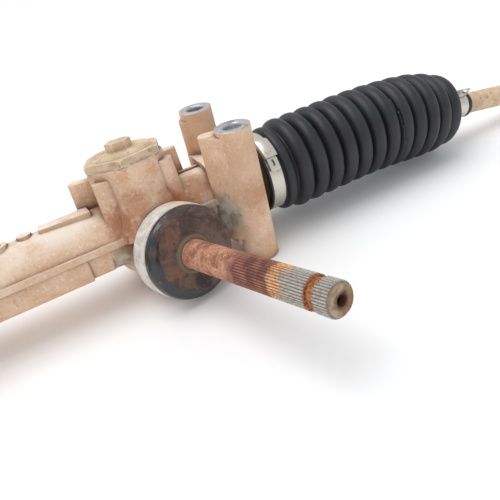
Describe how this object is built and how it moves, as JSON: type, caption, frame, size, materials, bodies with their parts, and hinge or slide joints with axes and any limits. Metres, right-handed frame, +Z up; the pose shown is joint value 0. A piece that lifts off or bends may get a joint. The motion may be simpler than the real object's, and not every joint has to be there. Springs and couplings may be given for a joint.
{
  "type": "steering rack",
  "caption": "Rack-and-pinion steering gear with cast housing, input shaft, bellows, mounting tubes and inner tie rods.",
  "frame": {"origin": "middle of the four mounting holes, on the plane of their feet", "axes": "+X along the rack towards the pinion end, +Z up along the mounting holes, the input shaft points towards -Y"},
  "size_m": [0.8398, 0.186, 0.086],
  "materials": {
    "cast_aluminium": "sand cast, dusty",
    "steel": "machined",
    "rusted_steel": "rusted",
    "cap_black": "black, rusted face",
    "rubber_black": "matte",
    "stainless": "bright",
    "plastic": "smooth",
    "bronze": "sintered",
    "dusty_steel": "dusty"
  },
  "bodies": {
    "housing": {"rack_housing": "cast_aluminium", "rack_bush": "bronze", "bearing_outer_ring": "steel", "bearing_circlip": "steel", "tail_bush": "bronze", "pinion_seal": "rubber_black", "pinion_dust_cap": "cap_black", "yoke": "cast_aluminium", "yoke_liner": "plastic", "yoke_o_ring": "rubber_black", "yoke_spring": "steel", "yoke_plug": "dusty_steel", "yoke_lock_nut": "dusty_steel", "bellows_right": "rubber_black", "bellows_left": "rubber_black", "bellows_clamp_right": "stainless", "bellows_clamp_left": "stainless"},
    "rack": {"rack_bar": "steel", "ball_socket_right": "steel", "ball_socket_left": "steel", "lock_washer_right": "steel", "lock_washer_left": "steel"},
    "pinion": {"pinion_shaft": "rusted_steel", "bearing_inner_ring": "steel", "shaft_circlip": "steel"},
    "bearing_cage": {"bearing_cage": "plastic", "bearing_balls": "steel"},
    "ball_seat_right": {"ball_seat_right": "plastic"},
    "tie_rod_right": {"tie_rod_right": "dusty_steel", "spring_clamp_right": "stainless"},
    "ball_seat_left": {"ball_seat_left": "plastic"},
    "tie_rod_left": {"tie_rod_left": "dusty_steel", "spring_clamp_left": "stainless"}
  },
  "joints": [
    {"name": "rack_slide", "type": "slide", "parent": "housing", "child": "rack", "axis": [1, 0, 0], "range_m": [-0.05, 0.05], "deforming": ["bellows_right", "bellows_left"]},
    {"name": "pinion_turn", "type": "hinge", "parent": "housing", "child": "pinion", "pos_m": [0.0551, -0.00195, 0.02286], "axis": [0.2284, -0.9636, 0.1389], "range_deg": [-431, 431]},
    {"name": "cage_turn", "type": "hinge", "parent": "housing", "child": "bearing_cage", "pos_m": [0.06081, -0.02604, 0.02634], "axis": [0.2284, -0.9636, 0.1389], "range_deg": [-176, 176]},
    {"name": "tie_rod_yaw_right", "type": "hinge", "parent": "rack", "child": "ball_seat_right", "pos_m": [0.2235, 0, 0.0364], "axis": [0, 0, 1], "range_deg": [-22, 22]},
    {"name": "tie_rod_pitch_right", "type": "hinge", "parent": "ball_seat_right", "child": "tie_rod_right", "pos_m": [0.2235, 0, 0.0364], "axis": [0, 1, 0], "range_deg": [-30.8, 13.2]},
    {"name": "tie_rod_yaw_left", "type": "hinge", "parent": "rack", "child": "ball_seat_left", "pos_m": [-0.2235, 0, 0.0364], "axis": [0, 0, 1], "range_deg": [-22, 22]},
    {"name": "tie_rod_pitch_left", "type": "hinge", "parent": "ball_seat_left", "child": "tie_rod_left", "pos_m": [-0.2235, 0, 0.0364], "axis": [0, 1, 0], "range_deg": [-13.2, 30.8]}
  ],
  "couplings": [
    {"joint": "pinion_turn", "follows": "rack_slide", "rad_per_m": -150.36},
    {"joint": "cage_turn", "follows": "rack_slide", "rad_per_m": -61.416}
  ]
}
